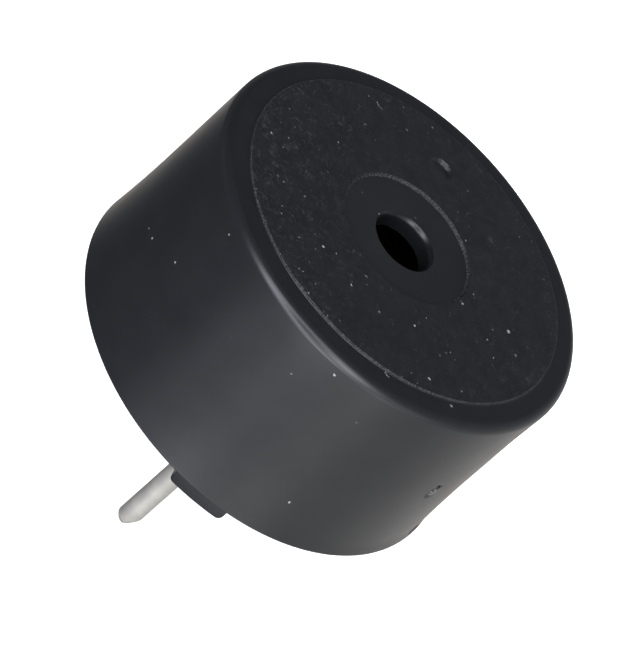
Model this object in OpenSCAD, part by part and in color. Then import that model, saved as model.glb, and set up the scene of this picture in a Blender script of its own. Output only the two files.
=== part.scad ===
// Pin type piezo sounder. A moulded case holds a brass diaphragm with a piezo disc
// on it, and a moulded base with two pins closes the case from below.
// Z is the axis of the case and points to the sound hole. Z = 0 is the face of the
// circuit board: the feet stand on it, and the two pins go down through it on the X axis.

/* [Case] */
// Diameter over the lip at the rim
rim_d = 12.2; // [10:0.1:16]
// Height from the rim to the band around the top
case_h = 6.15; // [5:0.05:9]
// How far the lip stands out from the wall
lip_w = 0.08; // [0.02:0.01:0.2]
// Height of the lip
lip_h = 0.2; // [0.1:0.05:0.5]
// Draft of the outer wall, in degrees
wall_draft = 1.1; // [0:0.1:3]
// Radius of the rounded top edge
edge_r = 0.3; // [0.2:0.05:0.7]
// Thickness of the wall around the lower chamber
wall_t = 1; // [0.7:0.05:1.25]
// Thickness of the top, at the band
top_t = 0.6; // [0.5:0.05:1]

/* [Top face] */
// Width of the flat band between the rounded edge and the raised disc
band_w = 0.45; // [0.1:0.05:1]
// Height of the raised disc above the band
disc_h = 0.08; // [0.02:0.01:0.2]
// Diameter of the recess around the sound hole
recess_d = 4.2; // [3:0.1:5]
// Depth of the recess below the raised disc
recess_h = 0.15; // [0.05:0.05:0.3]
// Diameter of the sound hole
hole_d = 1.8; // [1:0.05:2.4]
// Radius of the rounded edge of the sound hole
hole_edge_r = 0.08; // [0.05:0.01:0.35]
// Diameter of the index dimple at the surface
dimple_d = 0.8; // [0.5:0.05:1.2]
// Depth of the index dimple
dimple_h = 0.14; // [0.05:0.01:0.2]
// Distance between the edge of the index dimple and the recess
dimple_gap = 0.9; // [0.1:0.05:1]

/* [Feet] */
// Height of the feet under the rim
foot_h = 0.4; // [0.1:0.05:0.6]
// Width of a foot
foot_w = 1.75; // [1:0.05:3]
// Radius of a foot's lower corners
foot_corner_r = 0.15; // [0.05:0.05:0.3]

/* [Diaphragm] */
// Height of the chamber between the top and the diaphragm
chamber_h = 1.4; // [0.8:0.1:1.8]
// Width of the ledge that the diaphragm sits against
ledge_w = 0.7; // [0.4:0.05:1]
// Gap between the brass plate and the wall, filled with adhesive
plate_gap = 0.15; // [0.05:0.05:0.25]
// Thickness of the brass plate
plate_t = 0.1; // [0.05:0.01:0.2]
// Width of the bare rim of the brass plate around the piezo disc
plate_margin = 1.2; // [1.1:0.05:2]
// Thickness of the piezo disc
ceramic_t = 0.15; // [0.1:0.01:0.25]
// Width of the bare rim of the piezo disc around its electrode
electrode_margin = 0.3; // [0.1:0.05:0.6]
// Thickness of the silver electrode
electrode_t = 0.02; // [0.02:0.01:0.05]
// Height of the adhesive bead below the brass plate
bead_h = 0.5; // [0.2:0.05:0.7]
// Width of the adhesive bead on the brass plate
bead_w = 0.45; // [0.2:0.05:0.5]

/* [Base] */
// Thickness of the base
base_t = 1; // [0.7:0.05:1.3]
// Distance between the base's underside and the rim
base_inset = 0.3; // [0.1:0.05:0.6]
// Width of the shoulder in the case that the base sits against
shoulder_w = 0.3; // [0.15:0.05:0.5]
// Gap between the base and the case
base_gap = 0.03; // [0:0.01:0.1]
// Diameter of the bosses around the pins
boss_d = 1.8; // [1.4:0.1:2.2]
// Height of the bosses above the base
boss_h = 0.5; // [0.2:0.05:0.8]
// Size of the bevel along the base's lower edge and around the pin holes
base_bevel = 0.12; // [0.05:0.01:0.2]

/* [Pins] */
// Distance between the two pins
pin_pitch = 5; // [4:0.1:6.5]
// Diameter of a pin
pin_d = 0.65; // [0.4:0.05:0.8]
// Length of a pin below the feet
pin_drop = 5.1; // [2:0.05:8]
// Length of the bevel at a pin's tip
tip_h = 0.15; // [0.05:0.01:0.3]
// How far the bevel narrows a pin's radius
tip_bevel = 0.1; // [0.05:0.01:0.15]
// How much a pin's radius grows where the base holds it
pin_hold_w = 0.03; // [0.01:0.01:0.1]
// Gap between a pin and its hole
pin_gap = 0.01; // [0:0.01:0.05]
// How far a pin's collar stands out from the pin
collar_w = 0.25; // [0.1:0.05:0.35]
// Height of the collar
collar_h = 0.2; // [0.1:0.05:0.3]
// Length of the pin above its collar
stub_h = 0.6; // [0.4:0.05:0.8]

/* [Leads] */
// Diameter of a lead wire
wire_d = 0.16; // [0.1:0.01:0.25]
// Bend radius of a lead wire, at its middle
wire_bend_r = 0.35; // [0.2:0.05:0.45]
// Distance between the wire's solder joint and the edge of the electrode
electrode_joint_inset = 1.3; // [0.6:0.1:2]
// Direction of the brass plate's solder joint from the axis, in degrees
plate_joint_angle = 25; // [15:5:60]
// Direction of the electrode's solder joint from the axis, in degrees
electrode_joint_angle = 145; // [110:5:165]
// Radius of a solder joint on the diaphragm
solder_r = 0.3; // [0.2:0.05:0.35]
// Height of a solder joint on the diaphragm
solder_h = 0.22; // [0.15:0.01:0.3]
// Width of the solder around a pin, at the collar
pin_solder_w = 0.22; // [0.1:0.01:0.25]

/* [Hidden] */
$fn = 96;
cut = 1; // how far a cutting solid runs past the face it cuts

// Heights, from the board up
rim_z = foot_h;
lip_top_z = rim_z + lip_h;
band_z = rim_z + case_h;
disc_z = band_z + disc_h;
recess_z = disc_z - recess_h;
ceiling_z = band_z - top_t;
ledge_z = ceiling_z - chamber_h;
plate_z = ledge_z - plate_t;
ceramic_z = plate_z - ceramic_t;
electrode_z = ceramic_z - electrode_t;
base_z = rim_z + base_inset;
base_top_z = base_z + base_t;
boss_top_z = base_top_z + boss_h;
collar_top_z = boss_top_z + collar_h;
stub_top_z = collar_top_z + stub_h;
wire_z = collar_top_z + stub_h / 2;

// Radii of the case
rim_r = rim_d / 2;
wall_r = rim_r - lip_w;
edge_z = band_z - edge_r;
edge_x = wall_r - (edge_r + (edge_z - lip_top_z) * sin(wall_draft)) / cos(wall_draft);
disc_r = edge_x - band_w;
chamber_r = wall_r - wall_t;
ledge_r = chamber_r - ledge_w;
seat_r = chamber_r + shoulder_w;
hole_r = hole_d / 2;
dimple_x = recess_d / 2 + dimple_gap + dimple_d / 2;
dimple_sphere_r = (pow(dimple_d / 2, 2) + pow(dimple_h, 2)) / (2 * dimple_h);

// Radii of the pieces inside
plate_r = chamber_r - plate_gap;
ceramic_r = plate_r - plate_margin;
electrode_r = ceramic_r - electrode_margin;
base_r = seat_r - base_gap;
pin_r = pin_d / 2;
pin_hold_r = pin_r + pin_hold_w;
pin_hole_r = pin_hold_r + pin_gap;
tip_z = -pin_drop;

// Where the leads are soldered: the pins, the bare rim of the plate, and the electrode
pins = [[pin_pitch / 2, 0], [-pin_pitch / 2, 0]];
plate_joint = on_circle((ceramic_r + ledge_r) / 2, plate_joint_angle);
electrode_joint = on_circle(electrode_r - electrode_joint_inset, electrode_joint_angle);

function on_circle(r, angle) = [r * cos(angle), r * sin(angle)];

// Outer form of the case, without its feet and hollows
module case_profile() {
    polygon([
        [0, rim_z],
        [rim_r, rim_z],
        [rim_r, rim_z + lip_h / 2],
        [wall_r, lip_top_z],
        [edge_x + edge_r * cos(wall_draft), edge_z + edge_r * sin(wall_draft)],
        [edge_x, edge_z],
        [edge_x, band_z],
        [disc_r, band_z],
        [disc_r, disc_z],
        [0, disc_z]
    ]);
    translate([edge_x, edge_z]) circle(edge_r);
}

// Section of a foot seen along X, with rounded lower corners
module foot_section() {
    inner_w = foot_w - 2 * foot_corner_r;
    translate([-inner_w / 2, 0]) square([inner_w, foot_h + lip_h]);
    translate([-foot_w / 2, foot_corner_r]) square([foot_w, foot_h + lip_h - foot_corner_r]);
    for (side = [-1, 1])
        translate([side * inner_w / 2, foot_corner_r]) circle(foot_corner_r);
}

module feet() {
    intersection() {
        cylinder(r = wall_r, h = foot_h + lip_h);
        translate([-rim_r, 0, 0]) rotate([90, 0, 90])
            linear_extrude(rim_d) foot_section();
    }
}

// Sound hole with a rounded upper edge
module sound_hole() {
    translate([0, 0, ceiling_z - cut]) cylinder(r = hole_r, h = disc_z - ceiling_z + 2 * cut);
    rotate_extrude() difference() {
        translate([hole_r - hole_edge_r / 2, recess_z - hole_edge_r])
            square([1.5 * hole_edge_r, 1.5 * hole_edge_r]);
        translate([hole_r + hole_edge_r, recess_z - hole_edge_r]) circle(hole_edge_r);
    }
}

module case() {
    color([0.13, 0.13, 0.14]) difference() {
        union() {
            rotate_extrude() case_profile();
            feet();
        }
        translate([0, 0, -cut]) cylinder(r = seat_r, h = base_top_z + cut);
        cylinder(r = chamber_r, h = ledge_z);
        cylinder(r = ledge_r, h = ceiling_z);
        translate([0, 0, recess_z]) cylinder(d = recess_d, h = recess_h + cut);
        sound_hole();
        translate([-dimple_x, 0, disc_z + dimple_sphere_r - dimple_h]) sphere(dimple_sphere_r);
    }
}

module base() {
    color([0.16, 0.16, 0.17]) difference() {
        union() {
            translate([0, 0, base_z]) cylinder(r1 = base_r - base_bevel, r2 = base_r, h = base_bevel);
            translate([0, 0, base_z + base_bevel]) cylinder(r = base_r, h = base_t - base_bevel);
            for (pin = pins)
                translate([pin.x, pin.y, base_top_z - base_t / 2]) cylinder(d = boss_d, h = boss_h + base_t / 2);
        }
        for (pin = pins) translate([pin.x, pin.y, 0]) {
            translate([0, 0, base_z - cut]) cylinder(r = pin_hole_r, h = base_t + boss_h + 2 * cut);
            translate([0, 0, base_z - base_bevel])
                cylinder(r1 = pin_hole_r + 2 * base_bevel, r2 = pin_hole_r, h = 2 * base_bevel);
        }
    }
}

module terminal_pin(pin) {
    collar_r = pin_r + collar_w;
    color([0.8, 0.79, 0.75]) translate([pin.x, pin.y, 0]) rotate_extrude() polygon([
        [0, tip_z],
        [pin_r - tip_bevel, tip_z],
        [pin_r, tip_z + tip_h],
        [pin_r, base_z],
        [pin_hold_r, base_z],
        [pin_hold_r, boss_top_z],
        [collar_r, boss_top_z],
        [collar_r, collar_top_z],
        [pin_r, collar_top_z],
        [pin_r, stub_top_z],
        [0, stub_top_z]
    ]);
}

module diaphragm_plate() {
    color([0.8, 0.62, 0.3]) translate([0, 0, plate_z]) cylinder(r = plate_r, h = plate_t);
}

module piezo_ceramic() {
    color([0.78, 0.74, 0.62]) translate([0, 0, ceramic_z]) cylinder(r = ceramic_r, h = ceramic_t);
}

module electrode_layer() {
    color([0.82, 0.82, 0.8]) translate([0, 0, electrode_z]) cylinder(r = electrode_r, h = electrode_t);
}

// Bead that fills the gap around the plate and runs from the plate down the wall
module adhesive_ring() {
    color([0.9, 0.9, 0.86]) rotate_extrude() polygon([
        [plate_r, ledge_z],
        [chamber_r, ledge_z],
        [chamber_r, plate_z - bead_h],
        [plate_r - bead_w, plate_z],
        [plate_r, plate_z]
    ]);
}

// A lead leaves the pin level, bends up and ends on the diaphragm at height end_z.
// Local X points from the pin to the joint, and the origin is on the pin's axis.
module wire_from_pin(pin, joint, end_z) {
    reach = norm(joint - pin);
    translate([pin.x, pin.y, 0]) rotate(atan2(joint.y - pin.y, joint.x - pin.x)) {
        translate([pin_r, 0, wire_z]) rotate([0, 90, 0])
            cylinder(d = wire_d, h = reach - wire_bend_r - pin_r);
        translate([reach - wire_bend_r, 0, wire_z + wire_bend_r]) rotate([90, 0, 0])
            rotate([0, 0, -90]) rotate_extrude(angle = 90)
                translate([wire_bend_r, 0]) circle(d = wire_d);
        translate([reach, 0, wire_z + wire_bend_r])
            cylinder(d = wire_d, h = end_z - wire_z - wire_bend_r);
    }
}

module lead_wire(pin, joint, end_z) {
    color([0.72, 0.42, 0.22]) wire_from_pin(pin, joint, end_z);
}

// Solder that rises from the collar along the pin's stub and wets the wire's end
module pin_solder(pin, joint, end_z) {
    shoulder_r = pin_r + pin_solder_w * 0.8;
    tip_r = pin_r + wire_d / 4;
    solder_top_z = stub_top_z - stub_h / 8;
    color([0.7, 0.7, 0.7]) difference() {
        translate([pin.x, pin.y, 0]) rotate_extrude() polygon([
            [pin_r, collar_top_z],
            [pin_r + pin_solder_w, collar_top_z],
            [shoulder_r, wire_z],
            [tip_r, solder_top_z],
            [pin_r, solder_top_z]
        ]);
        wire_from_pin(pin, joint, end_z);
    }
}

// Solder dome that hangs under the diaphragm around the wire's end
module joint_solder(pin, joint, end_z) {
    dome_r = (pow(solder_r, 2) + pow(solder_h, 2)) / (2 * solder_h);
    color([0.7, 0.7, 0.7]) difference() {
        intersection() {
            translate([joint.x, joint.y, end_z - solder_h + dome_r]) sphere(dome_r);
            translate([joint.x, joint.y, end_z - solder_h]) cylinder(r = dome_r, h = solder_h);
        }
        wire_from_pin(pin, joint, end_z);
    }
}

case();
base();
terminal_pin(pins[0]);  // terminal_pin_1
terminal_pin(pins[1]);  // terminal_pin_2
diaphragm_plate();
piezo_ceramic();
electrode_layer();
adhesive_ring();
lead_wire(pins[0], plate_joint, plate_z);  // lead_wire_1
lead_wire(pins[1], electrode_joint, electrode_z);  // lead_wire_2
pin_solder(pins[0], plate_joint, plate_z);  // pin_solder_1
pin_solder(pins[1], electrode_joint, electrode_z);  // pin_solder_2
joint_solder(pins[0], plate_joint, plate_z);  // plate_solder
joint_solder(pins[1], electrode_joint, electrode_z);  // electrode_solder
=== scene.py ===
import math

import bmesh
import bpy
from mathutils import Matrix, Vector


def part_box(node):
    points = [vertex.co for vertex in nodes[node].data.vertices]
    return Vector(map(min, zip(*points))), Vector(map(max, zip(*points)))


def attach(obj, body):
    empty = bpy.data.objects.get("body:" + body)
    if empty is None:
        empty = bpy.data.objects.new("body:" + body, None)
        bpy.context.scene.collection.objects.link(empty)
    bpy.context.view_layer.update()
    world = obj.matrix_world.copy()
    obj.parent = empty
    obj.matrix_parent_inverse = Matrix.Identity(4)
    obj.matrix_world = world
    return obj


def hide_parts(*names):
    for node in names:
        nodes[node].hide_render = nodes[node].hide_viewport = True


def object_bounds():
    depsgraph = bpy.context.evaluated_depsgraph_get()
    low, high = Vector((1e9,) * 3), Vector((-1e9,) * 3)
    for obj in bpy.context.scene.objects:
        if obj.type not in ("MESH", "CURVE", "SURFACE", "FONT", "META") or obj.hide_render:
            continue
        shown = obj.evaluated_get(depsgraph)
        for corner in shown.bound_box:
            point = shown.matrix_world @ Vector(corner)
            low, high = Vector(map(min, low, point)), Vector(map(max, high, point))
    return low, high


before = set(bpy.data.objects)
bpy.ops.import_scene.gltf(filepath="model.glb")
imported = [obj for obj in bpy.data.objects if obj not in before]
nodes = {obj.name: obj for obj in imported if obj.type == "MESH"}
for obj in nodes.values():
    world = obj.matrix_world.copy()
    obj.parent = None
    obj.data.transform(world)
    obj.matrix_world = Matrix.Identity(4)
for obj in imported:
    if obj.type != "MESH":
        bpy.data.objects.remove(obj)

mm = 0.001
cadLow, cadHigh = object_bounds()
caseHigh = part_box("case")[1]
baseLow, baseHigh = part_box("base")
print("frame loaded:", len(nodes), "nodes")


def newMaterial(name):
    material = bpy.data.materials.new(name)
    material.use_nodes = True
    tree = material.node_tree
    tree.nodes.clear()
    output = tree.nodes.new("ShaderNodeOutputMaterial")
    shader = tree.nodes.new("ShaderNodeBsdfPrincipled")
    tree.links.new(shader.outputs[0], output.inputs["Surface"])
    return material, tree, shader


def addNode(tree, kind, inputs=None, **settings):
    node = tree.nodes.new(kind)
    for key, value in settings.items():
        setattr(node, key, value)
    for key, value in (inputs or {}).items():
        if isinstance(value, bpy.types.NodeSocket):
            tree.links.new(value, node.inputs[key])
        else:
            node.inputs[key].default_value = value
    return node


def inMillimetres(tree, stretch=(1, 1, 1), turn=(0, 0, 0)):
    place = addNode(tree, "ShaderNodeTexCoord")
    return addNode(tree, "ShaderNodeMapping", {
        "Vector": place.outputs["Object"],
        "Scale": [1000 * s for s in stretch],
        "Rotation": turn,
    }).outputs[0]


def noise(tree, place, scale, detail=3.0, rough=0.6):
    return addNode(tree, "ShaderNodeTexNoise", {
        "Vector": place, "Scale": scale, "Detail": detail, "Roughness": rough,
    }).outputs["Fac"]


# a noise keeps to the middle of its range: these are what is taken for its two ends
noiseEnds = {"wide": (0.3, 0.7), "middling": (0.32, 0.68), "narrow": (0.35, 0.65)}


def ramp(tree, value, low, high, toLow=0.0, toHigh=1.0):
    return addNode(tree, "ShaderNodeMapRange", {
        "Value": value, "From Min": low, "From Max": high, "To Min": toLow, "To Max": toHigh,
    }).outputs[0]


def calc(tree, operation, a, b=0.0):
    return addNode(tree, "ShaderNodeMath", {0: a, 1: b}, operation=operation).outputs[0]


def vectorCalc(tree, operation, a, b, output="Value"):
    return addNode(tree, "ShaderNodeVectorMath", {0: a, 1: b}, operation=operation).outputs[output]


def mixColour(tree, factor, a, b):
    node = addNode(tree, "ShaderNodeMix", data_type="RGBA")
    for socket, value in ((node.inputs[0], factor), (node.inputs[6], a), (node.inputs[7], b)):
        if isinstance(value, bpy.types.NodeSocket):
            tree.links.new(value, socket)
        else:
            socket.default_value = value
    return node.outputs[2]


# height and depth of the roughness, on top of a coarser one where normal is given
def bump(tree, height, distance, normal=None):
    inputs = {"Height": height, "Distance": distance * mm}
    if normal is not None:
        inputs["Normal"] = normal
    return addNode(tree, "ShaderNodeBump", inputs).outputs[0]


meshing = {
    "weld": 0.0004,        # mm; points nearer than this become one
    "sharp": 38,           # degrees; a harder edge than this shows as an edge
    "cadSharp": 30,
}


def finishMesh(mesh, name):
    weld = meshing["weld"] * mm
    bmesh.ops.remove_doubles(mesh, verts=mesh.verts, dist=weld)
    bmesh.ops.dissolve_degenerate(mesh, edges=mesh.edges, dist=weld)
    bmesh.ops.recalc_face_normals(mesh, faces=mesh.faces)
    data = bpy.data.meshes.new(name)
    mesh.to_mesh(data)
    mesh.free()
    data.set_sharp_from_angle(angle=math.radians(meshing["sharp"]))
    piece = bpy.data.objects.new(name, data)
    bpy.context.scene.collection.objects.link(piece)
    return piece


# all in mm, and heights are above the board
caseShape = {
    "rimZ": 0.4,           # the feet lift the rim this far off the board
    "rimStep": 0.075,      # how far the rim stands outside the wall's own slope
    "flareTall": 2.6,      # the wall swings out over this height above the rim
    "draftDegrees": 1.11,
    "edgeRound": 0.28,
    "edgeSteps": 20,
    "discRadius": 5.16,
    "discRise": 0.08,
    "discRound": 0.034,    # along the disc's edge
    "discSteps": 6,
    "discFillet": 0.02,    # where that edge meets the band
    "filletSteps": 3,
    "recessRadius": 2.1,
    "recessDepth": 0.15,   # at the hole
    "recessEdge": 0.09,    # at the recess's own edge: the floor falls gently between the two
    "recessFillet": 0.06,
    "recessSteps": 9,
    "riserEnd": -12,       # degrees; the riser's hollow stops here, just short of upright
    "riserSteps": 7,
    "riserTop": [(0.004, -0.01), (0.016, 0)],   # out and up from the recess's radius and the disc
    "holeRadius": 0.885,
    "holeRound": 0.25,
    "holeCrease": 50,      # degrees of rounding left before the hole's edge breaks off sharply
    "creaseGap": 5,        # degrees; the last ring of the rounding stands this far short of the crease
    "holeSteps": 8,
    "boreFoot": [(-0.01, 0), (-0.008, 0.1)],    # out and up from the hole's radius and the ceiling
    "boreTop": (-0.002, -0.08),                 # out and up from where the rounding starts
    "rimCorner": [(-0.001, 0.02), (0, 0.008), (-0.005, 0)],   # out and up from the rim
    "footHalf": 0.875,
    "footCorner": 0.15,
    "cornerSteps": 5,
    "footInset": 0.03,     # from the outside of the rim
    "footLines": 28,       # across a foot's flat
    "footSpan": 10,        # degrees to either side that belong to the foot
    "footSide": [(0.05, 0), (0.018, 0.006), (0.005, 0.02), (0, 0.045)],   # sideways and down, at its root
    # a foot's outer and inner face: out from the face, and how much of the foot's depth is kept back
    "footOuter": [(0, 9), (0, 0.05), (-0.012, 0.014), (-0.05, 0), (-0.35, 0)],   # 9 keeps back all of it
    "footInner": [(0.04, 0), (0.01, 0.014), (0, 0.05), (0, 9)],
    "footTop": 0.72,       # the feet's inner faces end here, inside the case
    "seatRadius": 5.32,
    "chamberRadius": 5.02,
    "ledgeRadius": 4.32,
    "ceilingRadius": 2.4,  # one more ring, so that the ceiling's faces aren't too long
    "seatZ": 1.7,
    "ledgeZ": 4.55,
    "ceilingZ": 5.95,
    "columnStep": 1.15,    # degrees
    "fineRings": (2.9, 3.85),          # the disc's rings stand close together where the dimple is
    "ringGaps": (0.06, 0.024, 0.07),   # inside, at and outside the dimple
    "bandGap": 0.08,
    "wallHeights": [5.8, 5.3, 4.9, 4.5, 4.1],
    "scarHeights": [3.85 - 0.05 * i for i in range(19)],
    "lowHeights": [2.7, 2.45, 2.2, 1.95, 1.7, 1.5, 1.3, 1.1, 0.9, 0.75],
    "nickHeights": [0.68, 0.64, 0.6, 0.56, 0.52, 0.48, 0.45],
}


def arc(centreR, centreZ, radius, start, stop, count):
    points = []
    for i in range(count + 1):
        angle = math.radians(start + (stop - start) * i / count)
        points.append((centreR + radius * math.cos(angle), centreZ + radius * math.sin(angle)))
    return points


# points at one height between two radii, without the ends
def spaced(fromR, toR, z, step):
    count = max(1, round(abs(toR - fromR) / step))
    return [(fromR + (toR - fromR) * i / count, z) for i in range(1, count)]


def wallRadius(z):
    s = caseShape
    up = z - s["rimZ"]
    swing = max(0.0, 1 - up / s["flareTall"])
    slope = math.tan(math.radians(s["draftDegrees"]))
    return caseHigh.x / mm - s["rimStep"] * (1 - swing * swing) - up * slope


# rings of (radius, z, foot depth kept, part), from the hole over the outside to the ceiling
def caseRings(s):
    discZ = caseHigh.z / mm
    bandZ = discZ - s["discRise"]
    recessZ = discZ - s["recessDepth"]
    rimR = caseHigh.x / mm
    rings = []

    def put(points, part, footKept=None):
        rings.extend((r, z, footKept, part) for r, z in points)

    # the hole: nearly straight, rounded at its top, and broken off where it meets the recess
    hole, bend = s["holeRadius"], s["holeRound"]
    crease = math.radians(s["holeCrease"])
    bendZ = recessZ - bend * math.sin(crease)
    lipR = hole + bend * (1 - math.cos(crease))
    put([(hole + out, s["ceilingZ"] + up) for out, up in s["boreFoot"]], "bore")
    put([(hole + s["boreTop"][0], bendZ + s["boreTop"][1])], "bore")
    put(arc(hole + bend, bendZ, bend, 180, 180 - s["holeCrease"] + s["creaseGap"], s["holeSteps"]), "bore")

    # the recess: a floor that rises a little outwards, and a small riser up to the disc
    put([(lipR, recessZ)], "floor")
    fillet, steps = s["recessFillet"], s["recessSteps"]
    outR, outZ = s["recessRadius"] - fillet, discZ - s["recessEdge"]
    for i in range(1, steps):
        put([(lipR + (outR - lipR) * i / steps, recessZ + (outZ - recessZ) * i / steps)], "floor")
    put(arc(outR, outZ + fillet, fillet, -90, s["riserEnd"], s["riserSteps"]), "step")
    top = [(s["recessRadius"] + out, discZ + up) for out, up in s["riserTop"]]
    put(top, "disc")

    # the disc, its edge and the band round it
    fineFrom, fineTo = s["fineRings"]
    roundR, fillet = s["discRadius"] - s["discRound"], s["discFillet"]
    before, fine, after = s["ringGaps"]
    put(spaced(top[-1][0], fineFrom, discZ, before) + [(fineFrom, discZ)], "disc")
    put(spaced(fineFrom, fineTo, discZ, fine) + [(fineTo, discZ)], "disc")
    put(spaced(fineTo, roundR, discZ, after), "disc")
    put(arc(roundR, discZ - s["discRound"], s["discRound"], 90, 0, s["discSteps"]), "step")
    put(arc(s["discRadius"] + fillet, bandZ + fillet, fillet, 180, 270, s["filletSteps"]), "smooth")
    edge = s["edgeRound"]
    wallTop = wallRadius(bandZ - edge)
    put(spaced(s["discRadius"] + fillet, wallTop - edge, bandZ, s["bandGap"]), "smooth")
    put(arc(wallTop - edge, bandZ - edge, edge, 90, s["draftDegrees"], s["edgeSteps"]), "smooth")

    # the wall, down to the rim's small rounding
    for z in s["wallHeights"] + s["scarHeights"] + s["lowHeights"] + s["nickHeights"]:
        put([(wallRadius(z), z)], "wall")
    put([(rimR + out, s["rimZ"] + up) for out, up in s["rimCorner"]], "smooth")

    # under the rim: each foot column comes down by its depth, less what is kept back
    seatR = s["seatRadius"]
    for faceR, steps in ((rimR - s["footInset"], s["footOuter"]), (seatR, s["footInner"])):
        for out, kept in steps:
            put([(faceR + out, s["rimZ"])], "rim", kept)

    # inside: the shoulder for the base, the chamber, the ledge and the ceiling
    put([(seatR, s["footTop"]), (seatR, s["seatZ"]), (s["chamberRadius"], s["seatZ"]),
         (s["chamberRadius"], s["ledgeZ"]), (s["ledgeRadius"], s["ledgeZ"]),
         (s["ledgeRadius"], s["ceilingZ"]), (s["ceilingRadius"], s["ceilingZ"])], "smooth")
    return rings


# columns of (angle at the wall, foot's y or None, foot's middle angle, foot's depth)
def caseColumns(s):
    half, corner, deep = s["footHalf"], s["footCorner"], s["rimZ"]
    side = [(half + out, down) for out, down in s["footSide"]] + [(half, deep - corner)]
    for i in range(1, s["cornerSteps"] + 1):
        angle = math.radians(90 * i / s["cornerSteps"])
        side.append((half - corner * (1 - math.cos(angle)), deep - corner * (1 - math.sin(angle))))
    flat, lines = half - corner, s["footLines"]
    middle = [(flat - 2 * flat * i / lines, deep) for i in range(1, lines)]
    section = side + middle + [(-y, d) for y, d in reversed(side)]
    section.reverse()
    wallR = caseHigh.x / mm - s["footInset"]
    columns = []
    for foot in (0, 180):
        for y, depth in section:
            columns.append((foot + math.degrees(math.asin(y / wallR)), y, foot, depth))
        first, last = foot + s["footSpan"], foot + 180 - s["footSpan"]
        count = round((last - first) / s["columnStep"])
        angles = [first + (last - first) * i / count for i in range(count + 1)]
        if foot == 0:
            for mark in (gateScar, rimNick):
                reach = mark["columnReach"]
                angles += [mark["angle"] + mark["columnStep"] * i for i in range(-reach, reach + 1)]
        columns.extend((angle, None, foot, 0) for angle in sorted(angles))
    return columns


# the wall draws in by a hair on one side, as the plastic cools
sideDraw = {
    "angle": 80,           # where it draws in most
    "spread": 42,
    "depth": 0.04,
    "rimFade": 0.4,        # mm over which it fades out above the rim
    "topZ": 6.27,          # where it has faded out below the edge
    "topFade": 1.2,
}


def drawnIn(angle, z):
    s = sideDraw
    off = (angle - s["angle"] + 180) % 360 - 180
    low = min(1.0, (z - caseShape["rimZ"]) / s["rimFade"])
    high = min(1.0, max(0.0, (s["topZ"] - z) / s["topFade"]))
    return s["depth"] * math.exp(-(off / s["spread"]) ** 4) * low * high


# the torn stub where the plastic came in, with a pit above and below it
gateScar = {
    "angle": 53.5,
    "z": 3.43,
    "radius": 5.96,        # of the wall here
    "height": 0.035,
    "wide": 0.13,
    "tall": 0.16,
    "pitDrop": 0.24,
    "pitDepth": 0.035,
    "pitWide": 0.11,
    "pitTall": 0.065,
    "pits": ((1, 1.0), (-1, 0.8)),     # which side, and how deep it is against the other
    "reach": (0.5, 0.6),   # nothing changes further off than this
    "columnStep": 0.15,
    "columnReach": 16,
}


def scarLift(angle, z):
    s = gateScar
    across = math.radians(angle - s["angle"]) * s["radius"]
    up = z - s["z"]
    if abs(across) > s["reach"][0] or abs(up) > s["reach"][1]:
        return 0.0
    lift = s["height"] * math.exp(-(across / s["wide"]) ** 4 - (up / s["tall"]) ** 4)
    for side, share in s["pits"]:
        away = (across / s["pitWide"]) ** 2 + ((up - side * s["pitDrop"]) / s["pitTall"]) ** 2
        lift -= share * s["pitDepth"] * math.exp(-away)
    return lift


# a small dent knocked into the wall just above the rim
rimNick = {
    "angle": 73.2,
    "z": 0.63,
    "radius": 6.08,        # of the wall here
    "long": 0.3,
    "tall": 0.09,
    "depth": 0.07,
    "reach": 1,
    "columnStep": 0.3,
    "columnReach": 12,
    # painted shade along the dent, as a dark line of spots: degrees and height of its first spot, and on to
    # the next
    "shadeFrom": (70, 0.76),
    "shadeStep": (0.65, -0.02),
    "shadeSpots": 10,
    "shadeRadius": 0.075,
}


def nickDepth(angle, z):
    s = rimNick
    across = math.radians(angle - s["angle"]) * s["radius"]
    if abs(across) > s["reach"]:
        return 0.0
    return s["depth"] * math.exp(-(across / s["long"]) ** 4 - ((z - s["z"]) / s["tall"]) ** 2)


# the index mark in the disc
dimple = {
    "x": -3.52,
    "y": -0.01,
    "radius": 0.39,
    "depth": 0.13,
    "floor": 0.84,         # where the pit's steep side starts, as a share of its radius
    "deepSide": 167,       # degrees; the pit runs out to nothing on its other side
    "runOut": 1.3,
}


def dimpleDrop(x, y):
    s = dimple
    away = math.hypot(x - s["x"], y - s["y"]) / s["radius"]
    if away >= 1:
        return 0.0
    side = min(1.0, (1 - away) / (1 - s["floor"]))
    deepX, deepY = math.cos(math.radians(s["deepSide"])), math.sin(math.radians(s["deepSide"]))
    across = ((x - s["x"]) * deepX + (y - s["y"]) * deepY) / s["radius"]
    return s["depth"] * side * side * (3 - 2 * side) * (0.5 + 0.5 * across) ** s["runOut"]


# which of the case's materials a part of it takes: satin, sparked, sparked edge with a painted highlight,
# soft satin or bore, painted darker as shade
partSlots = {"disc": 1, "step": 2, "floor": 3, "bore": 4}


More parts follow.
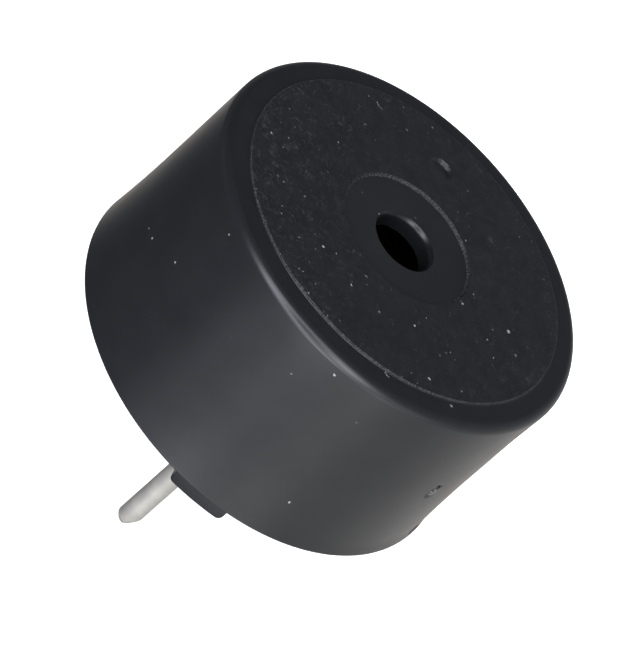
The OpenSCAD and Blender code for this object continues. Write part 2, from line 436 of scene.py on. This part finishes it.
def makeCase():
    rings, columns = caseRings(caseShape), caseColumns(caseShape)
    mesh = bmesh.new()
    grid = []
    for angle, footY, foot, depth in columns:
        line = []
        for r, z, kept, part in rings:
            turn, low = angle, z
            if kept is not None:
                low = z - max(0.0, depth - kept)
                if footY is not None:
                    turn = foot + math.degrees(math.asin(footY / r))
            if part == "wall":
                r += scarLift(turn, z) - drawnIn(turn, z) - nickDepth(turn, z)
            x, y = r * math.cos(math.radians(turn)), r * math.sin(math.radians(turn))
            if part == "disc":
                low -= dimpleDrop(x, y)
            line.append(mesh.verts.new((x * mm, y * mm, low * mm)))
        grid.append(line)
    for a in range(len(columns)):
        this, after = grid[a], grid[(a + 1) % len(columns)]
        for b in range(len(rings)):
            c = (b + 1) % len(rings)
            face = mesh.faces.new((this[b], this[c], after[c], after[b]))
            part = rings[b][3] if rings[b][3] != "smooth" else rings[c][3]
            face.material_index = partSlots.get(part, 0)
            face.smooth = True
    return finishMesh(mesh, "buzzerCase")


# specks of dust that stand out one by one: x, y and radius in mm; a program measured where most of them lie
dustSpots = {
    "large": [(0.25, 3.67, 0.05), (2.8, -1.97, 0.04), (3.27, -0.84, 0.035), (2.83, 1.19, 0.035),
              (4.17, 2.17, 0.035), (0.66, 2.15, 0.03), (0.45, -4.65, 0.035)],
    "small": [(3.37, 0.16, 0.026), (2.81, -4.29, 0.028), (0.01, 2.33, 0.026), (-1.69, 1.5, 0.028),
              (1.77, -3.73, 0.026), (1.61, 3.57, 0.026), (2.66, -1.57, 0.024), (4.96, -1.04, 0.026),
              (2.22, 1.4, 0.024), (-3.9, -2.8, 0.028), (4.74, -1.76, 0.026), (-4.8, -0.76, 0.028),
              (4.19, -2.14, 0.024), (2.9, -3.37, 0.024), (-1.25, -2.93, 0.026), (2.7, 2.4, 0.024),
              (3.66, 3.11, 0.024), (1.16, 3.21, 0.024)],
    "fibre": [(-3.93, -2.5, 0.02), (-3.9, -2.45, 0.02), (-3.87, -2.4, 0.022), (-3.85, -2.34, 0.02),
              (-3.84, -2.28, 0.018)],
    "band": [(4.33, 3.05, 0.04), (5.09, 1.04, 0.025), (5.12, 1.1, 0.03), (5.14, 1.16, 0.022)],
    "recess": [(-0.36, -1.7, 0.035), (-0.18, -0.97, 0.03)],
}
dustHeights = {"large": 6.63, "small": 6.63, "fibre": 6.63, "band": 6.55, "recess": 6.48}
discCentre = (0, 0, dustHeights["large"])
# on the wall: x, y, z and radius
wallDust = [(5.9, 0, 6.06, 0.035), (5.72, 1.83, 1.79, 0.035), (2.87, -5.24, 3.3, 0.035),
            (5.16, 3.05, 1.18, 0.03), (4.2, -4.14, 6, 0.03), (2.51, -5.42, 3.2, 0.025),
            (3.87, -4.53, 3.94, 0.03), (5.87, -0.75, 5.18, 0.03)]


def dustOn(*groups):
    return [(x, y, dustHeights[group], r) for group in groups for x, y, r in dustSpots[group]]


# a spot just under the wall's skin: degrees round from +X, height and radius in mm
def onWall(angle, z, radius, under=0.05, wallZ=None):
    r = wallRadius(z if wallZ is None else wallZ) - under
    return (r * math.cos(math.radians(angle)), r * math.sin(math.radians(angle)), z, radius)


# a spot on the gate scar: mm to the side and up from its middle
def onScar(across, up, radius):
    angle = gateScar["angle"] + math.degrees(across / gateScar["radius"])
    return onWall(angle, gateScar["z"] + up, radius, 0.03, gateScar["z"])


# the spots of painted shade along the dent
def nickShadeLine():
    s = rimNick
    (angle, z), (turn, climb) = s["shadeFrom"], s["shadeStep"]
    return [onWall(angle + turn * i, z + climb * i, s["shadeRadius"]) for i in range(s["shadeSpots"])]


# torn: the gate scar's lighter torn plastic; dark and nick: painted shade, in the scar's pits and along the
# dent
scarMarksAndShade = {
    "torn": [onScar(-0.05, 0.13, 0.05), onScar(-0.01, 0.07, 0.05), onScar(-0.02, 0, 0.06),
             onScar(-0.08, -0.08, 0.055), onScar(0.09, 0.1, 0.035), onScar(-0.12, 0.03, 0.04),
             onScar(0.06, -0.05, 0.035)],
    "dark": [onScar(0, 0.25, 0.07), onScar(-0.04, -0.24, 0.075), onScar(0.12, 0.0, 0.045),
             onScar(-0.16, -0.14, 0.04), onScar(0.09, 0.2, 0.05), onScar(-0.14, -0.22, 0.05)],
    "nick": nickShadeLine(),
}


dustLook = {
    "edge": (0.6, 1.3),    # a speck fades out between these shares of its radius
    "wander": 0.07,        # mm by which its outline strays
    "wanderScale": 14,
    "scatterWander": 0.13,
    "scatterScale": 9,
    "smallest": 0.4,       # scattered specks: the smallest one's radius against the widest
    "softness": 0.4,       # where their edge starts to fade, as a share of the radius
    "unevenness": 2.5,     # how much rarer strong specks are than faint ones
    "faintest": 0.12,
}


# the place of each point, nudged about so that round marks get ragged outlines
def shaken(tree, place, wander, scale):
    shake = addNode(tree, "ShaderNodeTexNoise", {"Vector": place, "Scale": scale, "Detail": 1})
    centred = vectorCalc(tree, "SUBTRACT", shake.outputs["Color"], (0.5, 0.5, 0.5), "Vector")
    return addNode(tree, "ShaderNodeVectorMath", {0: centred, 1: (wander, wander, wander), 2: place},
                   operation="MULTIPLY_ADD").outputs[0]


# 1 inside any of the given specks, 0 outside them all
def placedDust(tree, place, spots, wander=dustLook["wander"]):
    moved = shaken(tree, place, wander, dustLook["wanderScale"])
    near, far = dustLook["edge"]
    total = None
    for x, y, z, r in spots:
        away = vectorCalc(tree, "DISTANCE", moved, (x, y, z))
        inside = ramp(tree, away, r * near, r * far, 1, 0)
        total = inside if total is None else calc(tree, "MAXIMUM", total, inside)
    return total


# scattered crisp specks: cells per mm, the share that holds one, and the widest radius in mm
def scatteredDust(tree, place, scale, share, radius):
    look = dustLook
    moved = shaken(tree, place, look["scatterWander"], look["scatterScale"])
    cells = addNode(tree, "ShaderNodeTexVoronoi", {"Vector": moved, "Scale": scale}, feature="F1")
    pick = addNode(tree, "ShaderNodeSeparateColor", {0: cells.outputs["Color"]})
    size = ramp(tree, pick.outputs[1], 0, 1, look["smallest"] * radius * scale, radius * scale)
    inside = ramp(tree, calc(tree, "DIVIDE", cells.outputs["Distance"], size), look["softness"], 1, 1, 0)
    chosen = calc(tree, "LESS_THAN", pick.outputs[0], share)
    strength = ramp(tree, calc(tree, "POWER", pick.outputs[2], look["unevenness"]), 0, 1, look["faintest"], 1)
    return calc(tree, "MULTIPLY", calc(tree, "MULTIPLY", inside, chosen), strength)


# lays a colour over another where the mask says, as strongly as the tone says
def layOver(tree, colour, mask, tone, over):
    return mixColour(tree, calc(tree, "MULTIPLY", mask, tone), colour, over)


satinFinish = {
    "ior": 1.5,
    "dark": (0.0152, 0.0159, 0.0182, 1),
    "light": (0.0185, 0.0194, 0.0218, 1),
    "mottle": 0.9,         # marks per mm, as the grain and the smears are
    "roughness": (0.215, 0.27),
    "smear": 0.8,
    "smearStretch": (1.6, 0.5, 1),
    "smearTurn": 0.7,
    "grain": 9.0,
    "grainDepth": 0.0012,
    "dustCells": 2.6,
    "dustShare": 0.16,
    "dustRadius": 0.045,
    "dustTone": 0.22,
    "dust": (0.55, 0.55, 0.52, 1),
    "spotTone": 0.6,
    "spot": (0.62, 0.6, 0.54, 1),
    "torn": (0.16, 0.16, 0.16, 1),
    # the next colour and specular level paint shade into the scar's pits and along the dent
    "pitShade": (0, 0, 0, 1),
    "shadeShine": (0.5, 0.05),   # specular level outside and inside a dark mark
    "markWander": 0.12,
}
# the edges of the disc and of the recess's riser: a lighter colour and dense pale specks, partly dust and
# partly a painted highlight beaded along them
edgeHighlightFinish = dict(
    satinFinish, dark=(0.02, 0.021, 0.024, 1), light=(0.05, 0.052, 0.056, 1), mottle=6.0,
    roughness=(0.12, 0.2), grain=14.0, grainDepth=0.08, dustShare=0.85, dustTone=0.8)
softFinish = dict(
    satinFinish, dark=(0.0155, 0.0163, 0.0188, 1), light=(0.0195, 0.0205, 0.0235, 1),
    roughness=(0.38, 0.46), dustShare=0.06)
# the hole's wall and rounding: the same plastic, painted darker as shade in the hole
boreShadeFinish = dict(
    satinFinish, dark=(0.008, 0.0084, 0.0096, 1), light=(0.01, 0.0105, 0.0118, 1), roughness=(0.26, 0.31))
baseFinish = dict(satinFinish, mottle=1.3, roughness=(0.34, 0.44), grain=7.0, grainDepth=0.003)


def makeSatin(name, finish, spots=(), marks=None):
    f = finish
    material, tree, shader = newMaterial(name)
    place = inMillimetres(tree)
    mottle = noise(tree, place, f["mottle"], 4)
    smear = noise(tree, inMillimetres(tree, f["smearStretch"], (0, 0, f["smearTurn"])), f["smear"])
    grain = noise(tree, place, f["grain"])
    colour = mixColour(tree, ramp(tree, mottle, *noiseEnds["wide"]), f["dark"], f["light"])
    dust = scatteredDust(tree, place, f["dustCells"], f["dustShare"], f["dustRadius"])
    colour = layOver(tree, colour, dust, f["dustTone"], f["dust"])
    if spots:
        colour = layOver(tree, colour, placedDust(tree, place, spots), f["spotTone"], f["spot"])
    if marks:
        colour = mixColour(tree, placedDust(tree, place, marks["torn"], f["markWander"]), colour, f["torn"])
        # painted shade: the scar's pits and the dent's line are painted black, with their reflection turned
        # down
        pits = placedDust(tree, place, marks["dark"] + marks["nick"], f["markWander"])
        colour = mixColour(tree, pits, colour, f["pitShade"])
        tree.links.new(ramp(tree, pits, 0, 1, *f["shadeShine"]), shader.inputs["Specular IOR Level"])
    shader.inputs["IOR"].default_value = f["ior"]
    tree.links.new(colour, shader.inputs["Base Color"])
    tree.links.new(ramp(tree, smear, *noiseEnds["wide"], *f["roughness"]), shader.inputs["Roughness"])
    tree.links.new(bump(tree, grain, f["grainDepth"]), shader.inputs["Normal"])
    return material


sparkedFinish = {
    "ior": 1.5,
    "dark": (0.0125, 0.0133, 0.0153, 1),
    "light": (0.019, 0.02, 0.023, 1),
    "mottle": 2.2,
    "mottleDepth": 0.012,
    "roughness": (0.4, 0.5),
    "grain": 16.0,
    "grainDepth": 0.008,
    "sideTowards": (0.06, -0.19, 0),   # the disc is rougher and dustier this way
    "sideFade": (0.25, 0.95),
    "edgeFade": (4.2, 5.0),            # and towards its edge, in mm from its middle
    "edgeSide": (0.1, 0.5),            # the edge counts in full only on the dusty side
    "edgeLeast": 0.25,
    "mark": (0.055, 0.058, 0.065, 1),
    "markTone": 0.9,
    "curl": 3.6,
    "curlBend": 0.6,
    "curlWide": (0.006, 0.03),
    "patch": 2.6,
    "patchFade": (0.6, 0.68),
    "patchMore": 0.1,                  # how much wider the patches are on the dusty side
    "haze": 6,
    "hazeFade": (0.53, 0.72),
    "hazeLeast": 0.35,
    "hazeTone": 0.5,
    "dustCells": 3.6,
    "dustShare": 0.34,
    "dustMore": 2,                     # times as much on the dusty side
    "dustRadius": 0.048,
    "dustTone": 0.38,
    "dust": (0.6, 0.6, 0.58, 1),
    "gritCells": 8,
    "gritShare": 0.4,
    "gritRadius": 0.03,
    "gritTone": 0.45,
    "gritFade": (4.75, 5.05),
    "largeTone": 0.7,
    "large": (0.78, 0.73, 0.62, 1),
    "smallTone": 0.5,
    "small": (0.6, 0.6, 0.57, 1),
}


def makeSparked(name, finish):
    f = finish
    material, tree, shader = newMaterial(name)
    place = inMillimetres(tree)
    mottle = noise(tree, place, f["mottle"], 5, 0.65)
    grain = noise(tree, place, f["grain"])
    colour = mixColour(tree, ramp(tree, mottle, *noiseEnds["middling"]), f["dark"], f["light"])
    # how dense the marks and the dust are
    side = ramp(tree, vectorCalc(tree, "DOT_PRODUCT", place, f["sideTowards"]), *f["sideFade"])
    outward = vectorCalc(tree, "DISTANCE", place, discCentre)
    onSide = ramp(tree, side, *f["edgeSide"], f["edgeLeast"], 1)
    dense = calc(tree, "MAXIMUM", side, calc(tree, "MULTIPLY", ramp(tree, outward, *f["edgeFade"]), onSide))
    # short curly marks: the level lines of a soft noise, kept only in patches
    bent = addNode(tree, "ShaderNodeTexNoise", {
        "Vector": place, "Scale": f["curl"], "Detail": 2, "Distortion": f["curlBend"]}).outputs["Fac"]
    offLine = calc(tree, "ABSOLUTE", calc(tree, "SUBTRACT", bent, 0.5))
    patch = calc(tree, "ADD", noise(tree, place, f["patch"]), calc(tree, "MULTIPLY", dense, f["patchMore"]))
    curls = ramp(tree, offLine, *f["curlWide"], 1, 0)
    marks = calc(tree, "MULTIPLY", curls, ramp(tree, patch, *f["patchFade"]))
    colour = layOver(tree, colour, marks, f["markTone"], f["mark"])
    # soft pale blotches
    blotch = ramp(tree, noise(tree, place, f["haze"]), *f["hazeFade"])
    haze = calc(tree, "MULTIPLY", ramp(tree, dense, 0, 1, f["hazeLeast"], 1), blotch)
    colour = layOver(tree, colour, haze, f["hazeTone"], f["mark"])
    share = ramp(tree, dense, 0, 1, f["dustShare"], f["dustShare"] * f["dustMore"])
    dust = scatteredDust(tree, place, f["dustCells"], share, f["dustRadius"])
    colour = layOver(tree, colour, dust, f["dustTone"], f["dust"])
    # grit caught along the disc's own edge
    border = calc(tree, "MULTIPLY", ramp(tree, outward, *f["gritFade"]), f["gritTone"])
    grit = scatteredDust(tree, place, f["gritCells"], f["gritShare"], f["gritRadius"])
    colour = layOver(tree, colour, grit, border, f["dust"])
    for size, spots in (("large", dustOn("large")), ("small", dustOn("small", "fibre"))):
        colour = layOver(tree, colour, placedDust(tree, place, spots), f[size + "Tone"], f[size])
    shader.inputs["IOR"].default_value = f["ior"]
    tree.links.new(colour, shader.inputs["Base Color"])
    tree.links.new(ramp(tree, mottle, *noiseEnds["wide"], *f["roughness"]), shader.inputs["Roughness"])
    soft = bump(tree, mottle, f["mottleDepth"])
    tree.links.new(bump(tree, grain, f["grainDepth"], soft), shader.inputs["Normal"])
    return material


caseMaterials = [
    makeSatin("satinBlack", satinFinish, dustOn("band", "recess") + wallDust, scarMarksAndShade),
    makeSparked("sparkedBlack", sparkedFinish),
    makeSatin("sparkedEdgeWithPaintedHighlight", edgeHighlightFinish),
    makeSatin("softSatin", softFinish, dustOn("recess")),
    makeSatin("boreSatinPaintedShade", boreShadeFinish),
]
case = makeCase()
for material in caseMaterials:
    case.data.materials.append(material)
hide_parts("case")
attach(case, "root")
print("case made:", len(case.data.polygons), "faces")


# all in mm
pinShape = {
    "collarOut": 0.25,     # how far the collar stands out past the pin
    "heldOut": 0.03,       # the pin is this much thicker inside its boss
    "collarTall": 0.2,
    "topBevel": 0.05,
    "tipBevel": 0.1,
    "tipHeight": 0.15,
    "tipCorner": [(-0.012, 0), (0, 0.006)],        # out and up from the bevel's lower edge
    "bevelCorner": [(-0.01, -0.012), (0, 0.02)],   # and from its upper edge
    "bossLead": 0.01,      # the pin starts to thicken this far below its boss
    "tipSlope": 0.85,      # the snipped side of the tip: rise over run
    "tipFlat": 0.02,       # how far past the pin's middle the snip starts
    "snipSide": 77,        # degrees
    "snipReach": 0.2,      # the snip moves nothing that is higher up the pin than this
    "columns": 96,
    "rings": 12,
}


def makePin(name):
    s = pinShape
    low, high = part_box(name)
    snip = math.radians(s["snipSide"])
    centre = Vector(((low.x + high.x) / 2, (low.y + high.y) / 2, 0))
    collarR = (high.x - low.x) / 2 / mm
    top, tip = high.z / mm, low.z / mm
    pinR = collarR - s["collarOut"]
    heldR = pinR + s["heldOut"]
    under, boss = baseLow.z / mm, baseHigh.z / mm
    collar = boss + s["collarTall"]
    bevelR, bevelZ = pinR - s["tipBevel"], tip + s["tipHeight"]
    profile = [(0, tip)]
    profile += [(bevelR + out, tip + up) for out, up in s["tipCorner"]]
    profile += [(pinR + out, bevelZ + up) for out, up in s["bevelCorner"]]
    profile += [(pinR, tip + (under - tip) * i / s["rings"]) for i in range(2, s["rings"])]
    profile += [(pinR, under - s["bossLead"]), (heldR, under), (heldR, boss), (collarR, boss),
                (collarR, collar), (pinR, collar), (pinR, top - s["topBevel"]),
                (pinR - s["topBevel"], top), (0, top)]
    mesh = bmesh.new()
    grid = []
    for a in range(s["columns"]):
        angle = 2 * math.pi * a / s["columns"]
        line = []
        for r, z in profile:
            if z < tip + s["snipReach"]:
                z += s["tipSlope"] * max(0.0, r * math.cos(angle - snip) - s["tipFlat"])
            x, y = r * math.cos(angle) * mm + centre.x, r * math.sin(angle) * mm + centre.y
            line.append(mesh.verts.new((x, y, z * mm)))
        grid.append(line)
    for a in range(len(grid)):
        this, after = grid[a], grid[(a + 1) % len(grid)]
        for b in range(len(profile) - 1):
            mesh.faces.new((this[b], after[b], after[b + 1], this[b + 1])).smooth = True
    return finishMesh(mesh, name + "_turned")


tinFinish = {
    "dark": (0.43, 0.408, 0.375, 1),
    "light": (0.52, 0.495, 0.455, 1),
    "metallic": 0.4,
    "roughness": (0.42, 0.52),
    "patchy": 2.2,
    "drawn": 12,           # fine marks, drawn out along the pin
    "drawnStretch": (1, 1, 0.25),
    "drawnDepth": 0.002,
}


def makeTin(name, finish):
    f = finish
    material, tree, shader = newMaterial(name)
    drawn = noise(tree, inMillimetres(tree, f["drawnStretch"]), f["drawn"])
    patchy = noise(tree, inMillimetres(tree), f["patchy"], 4)
    colour = mixColour(tree, ramp(tree, patchy, *noiseEnds["narrow"]), f["dark"], f["light"])
    tree.links.new(colour, shader.inputs["Base Color"])
    shader.inputs["Metallic"].default_value = f["metallic"]
    tree.links.new(ramp(tree, drawn, *noiseEnds["wide"], *f["roughness"]), shader.inputs["Roughness"])
    tree.links.new(bump(tree, drawn, f["drawnDepth"]), shader.inputs["Normal"])
    return material


tin = makeTin("dullTin", tinFinish)
for name in ("terminal_pin_1", "terminal_pin_2"):
    pin = makePin(name)
    pin.data.materials.append(tin)
    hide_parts(name)
    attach(pin, "root")
print("pins made")


innerFinishes = {
    "rolledBrass": {
        "pieces": ["diaphragm_plate"], "metallic": 1.0, "roughness": 0.3, "patchy": 2.5,
        "dark": (0.55, 0.38, 0.14, 1), "light": (0.66, 0.48, 0.2, 1)},
    "firedCeramic": {
        "pieces": ["piezo_ceramic"], "metallic": 0.0, "roughness": 0.6, "patchy": 3.0,
        "dark": (0.52, 0.46, 0.34, 1), "light": (0.6, 0.55, 0.42, 1)},
    "printedSilver": {
        "pieces": ["electrode_layer"], "metallic": 1.0, "roughness": 0.45, "patchy": 5.0,
        "dark": (0.6, 0.6, 0.58, 1), "light": (0.74, 0.74, 0.72, 1)},
    "siliconeBead": {
        "pieces": ["adhesive_ring"], "metallic": 0.0, "roughness": 0.3, "patchy": 1.5,
        "dark": (0.7, 0.7, 0.66, 1), "light": (0.8, 0.8, 0.77, 1)},
    "enamelledCopper": {
        "pieces": ["lead_wire_1", "lead_wire_2"], "metallic": 1.0, "roughness": 0.25, "patchy": 4.0,
        "dark": (0.5, 0.2, 0.08, 1), "light": (0.62, 0.28, 0.11, 1)},
    "solderAlloy": {
        "pieces": ["pin_solder_1", "pin_solder_2", "plate_solder", "electrode_solder"],
        "metallic": 1.0, "roughness": 0.22, "patchy": 4.0,
        "dark": (0.55, 0.55, 0.56, 1), "light": (0.7, 0.7, 0.71, 1)},
}
innerLook = {
    "uneven": 0.06,        # roughness goes this far to either side
    "finer": 6,            # the bump is this many times finer than the patches
    "depth": 0.003,
}


def makeInner(name, finish):
    f = finish
    material, tree, shader = newMaterial(name)
    place = inMillimetres(tree)
    patchy = noise(tree, place, f["patchy"], 4)
    colour = mixColour(tree, ramp(tree, patchy, *noiseEnds["narrow"]), f["dark"], f["light"])
    tree.links.new(colour, shader.inputs["Base Color"])
    shader.inputs["Metallic"].default_value = f["metallic"]
    low, high = f["roughness"] - innerLook["uneven"], f["roughness"] + innerLook["uneven"]
    tree.links.new(ramp(tree, patchy, *noiseEnds["wide"], low, high), shader.inputs["Roughness"])
    fine = noise(tree, place, f["patchy"] * innerLook["finer"], 3, 0.5)
    tree.links.new(bump(tree, fine, innerLook["depth"]), shader.inputs["Normal"])
    return material


def dress(name, material):
    data = nodes[name].data
    data.materials.clear()
    data.materials.append(material)
    data.set_sharp_from_angle(angle=math.radians(meshing["cadSharp"]))


dress("base", makeSatin("basePlastic", baseFinish))
for finishName, finish in innerFinishes.items():
    material = makeInner(finishName, finish)
    for name in finish["pieces"]:
        dress(name, material)
print("inner pieces dressed")


view = {
    "azimuth": -13.0,      # degrees from +X
    "elevation": 35.58,
    "roll": 48.19,
    "distance": 94.82,     # mm
    "targetZ": 3.4785,
    "lens": 190.5,
    "sensor": 36,
    "shiftX": -0.0243,
    "shiftY": -0.0443,
    "clip": (0.001, 10),   # metres
}


# a unit vector: degrees round from +X, and degrees up
def towards(azimuth, elevation):
    azimuth, elevation = math.radians(azimuth), math.radians(elevation)
    return (math.cos(elevation) * math.cos(azimuth), math.cos(elevation) * math.sin(azimuth),
            math.sin(elevation))


def makeCamera():
    v = view
    roll = math.radians(v["roll"])
    back = Vector(towards(v["azimuth"], v["elevation"]))
    right = Vector((0, 0, 1)).cross(back).normalized()
    up = back.cross(right)
    imageRight = right * math.cos(roll) + up * math.sin(roll)
    imageUp = up * math.cos(roll) - right * math.sin(roll)
    data = bpy.data.cameras.new("camera")
    data.lens = v["lens"]
    data.sensor_width = v["sensor"]
    data.clip_start, data.clip_end = v["clip"]
    data.shift_x, data.shift_y = v["shiftX"], v["shiftY"]
    camera = bpy.data.objects.new("camera", data)
    axes = Matrix((imageRight, imageUp, back)).transposed().to_4x4()
    place = Vector((0, 0, v["targetZ"] * mm)) + back * v["distance"] * mm
    camera.matrix_world = Matrix.Translation(place) @ axes
    bpy.context.scene.collection.objects.link(camera)
    bpy.context.scene.camera = camera


makeCamera()


studio = {
    "ambient": 0.01,
    "cool": (0.94, 0.985, 1.065, 1),   # from the front and above
    "plain": (1.01, 1, 0.97, 1),       # from the side and below
    "plainTurn": 80,                   # degrees round from the camera
    "plainDrop": -0.5,
    "plainFade": (0.2, 0.9),
    "warm": (1.07, 1, 0.93, 1),        # from low down behind
    "warmAside": 0.8,
    "warmDrop": -0.6,
    "warmFade": (0.8, 0.96),
    # soft glows round the part: degrees round from the camera, degrees up, spread in degrees, brightness;
    # a fitting program worked out all but the last six rows, which were set one by one
    "glows": [
        (-26, 23, 8, 5.61), (27, 22, 8, 4.85), (8, -16, 8, 4.77), (-3, 5, 8, 4.37),
        (-29, 41, 8, 3.36), (24, 39, 8, 3.28), (-24, 54, 8, 3.20), (20, -12, 8, 2.91),
        (8, 57, 8, 2.67), (-15, 2, 8, 1.95), (31, 32, 8, 1.71), (29, 6, 8, 1.66),
        (28, 53, 8, 1.53), (22, 12, 8, 1.38), (-21, 33, 8, 1.32), (48, -20, 8, 1.27),
        (-18, 17, 8, 1.15), (-5, -20, 8, 0.88), (56, 8, 15, 0.86), (-23, 7, 8, 0.84),
        (-22, -34, 8, 0.54), (40, -40, 20, 0.53), (35, -24, 8, 0.45), (130, -25, 26, 0.45),
        (180, -25, 26, 0.28), (85, -25, 26, 0.24), (125, 20, 26, 0.23), (-120, 72, 20, 0.11),
        (-75, -25, 26, 0.05), (-166, -33, 9, 0.19), (172, -34, 6, 0.12), (-95, 2, 12, 0.1),
        (-120, 2, 12, 0.06), (-145, 2, 12, 0.06),
    ],
}


def makeStudio():
    s = studio
    world = bpy.data.worlds.new("studio")
    bpy.context.scene.world = world
    world.use_nodes = True
    tree = world.node_tree
    look = addNode(tree, "ShaderNodeTexCoord").outputs["Generated"]
    total = s["ambient"]
    for turn, lift, spread, brightness in s["glows"]:
        facing = vectorCalc(tree, "DOT_PRODUCT", look, towards(view["azimuth"] + turn, lift))
        sharp = 1 / math.radians(spread) ** 2
        power = addNode(tree, "ShaderNodeMath", {0: facing, 1: sharp, 2: math.log(brightness) - sharp},
                        operation="MULTIPLY_ADD").outputs[0]
        total = calc(tree, "ADD", calc(tree, "EXPONENT", power), total)
    side = math.radians(view["azimuth"] + s["plainTurn"])
    aside = vectorCalc(tree, "DOT_PRODUCT", look, (math.cos(side), math.sin(side), s["plainDrop"]))
    tint = mixColour(tree, ramp(tree, aside, *s["plainFade"]), s["cool"], s["plain"])
    rear = math.radians(view["azimuth"] + 180)
    rearwards = (s["warmAside"] * math.cos(rear), s["warmAside"] * math.sin(rear), s["warmDrop"])
    behind = vectorCalc(tree, "DOT_PRODUCT", look, rearwards)
    background = tree.nodes["Background"]
    tree.links.new(mixColour(tree, ramp(tree, behind, *s["warmFade"]), tint, s["warm"]), background.inputs[0])
    tree.links.new(total, background.inputs[1])
    print("studio lit by", len(s["glows"]), "glows")


makeStudio()


# the floor and the backdrop are only there for the eye: they throw no light or shade on the part
backdropShape = {
    "floorRadius": 1.5,    # metres
    "domeRadius": 1.45,
    "skirt": 0.1,          # the dome goes on this far below the floor
    "segments": 64,
    "dark": (0.86, 0.86, 0.86, 1),
    "light": (0.9, 0.9, 0.9, 1),
    "grain": 300,
    "roughness": 0.9,
    "glow": 0.95,
    "glowColour": (1, 1, 1, 1),
}


def makeBackdrop(name, mesh):
    s = backdropShape
    material, tree, shader = newMaterial(name)
    grain = noise(tree, addNode(tree, "ShaderNodeTexCoord").outputs["Object"], s["grain"], 2, 0.5)
    tree.links.new(mixColour(tree, grain, s["dark"], s["light"]), shader.inputs["Base Color"])
    shader.inputs["Roughness"].default_value = s["roughness"]
    shader.inputs["Emission Color"].default_value = s["glowColour"]
    shader.inputs["Emission Strength"].default_value = s["glow"]
    data = bpy.data.meshes.new(name)
    mesh.to_mesh(data)
    mesh.free()
    data.materials.append(material)
    backdrop = bpy.data.objects.new(name, data)
    backdrop.location.z = cadLow.z
    bpy.context.scene.collection.objects.link(backdrop)
    for rays in ("visible_diffuse", "visible_glossy", "visible_shadow"):
        setattr(backdrop, rays, False)


segments = backdropShape["segments"]
floorMesh = bmesh.new()
bmesh.ops.create_circle(floorMesh, cap_ends=True, radius=backdropShape["floorRadius"], segments=segments)
makeBackdrop("floor", floorMesh)
domeMesh = bmesh.new()
bmesh.ops.create_uvsphere(domeMesh, u_segments=segments, v_segments=segments // 2,
                          radius=backdropShape["domeRadius"])
tooLow = [v for v in domeMesh.verts if v.co.z < -backdropShape["skirt"]]
bmesh.ops.delete(domeMesh, geom=tooLow, context="VERTS")
makeBackdrop("backdrop", domeMesh)
print("floor and backdrop laid")

bpy.context.scene.view_settings.view_transform = "Standard"
bpy.context.scene.view_settings.look = "None"
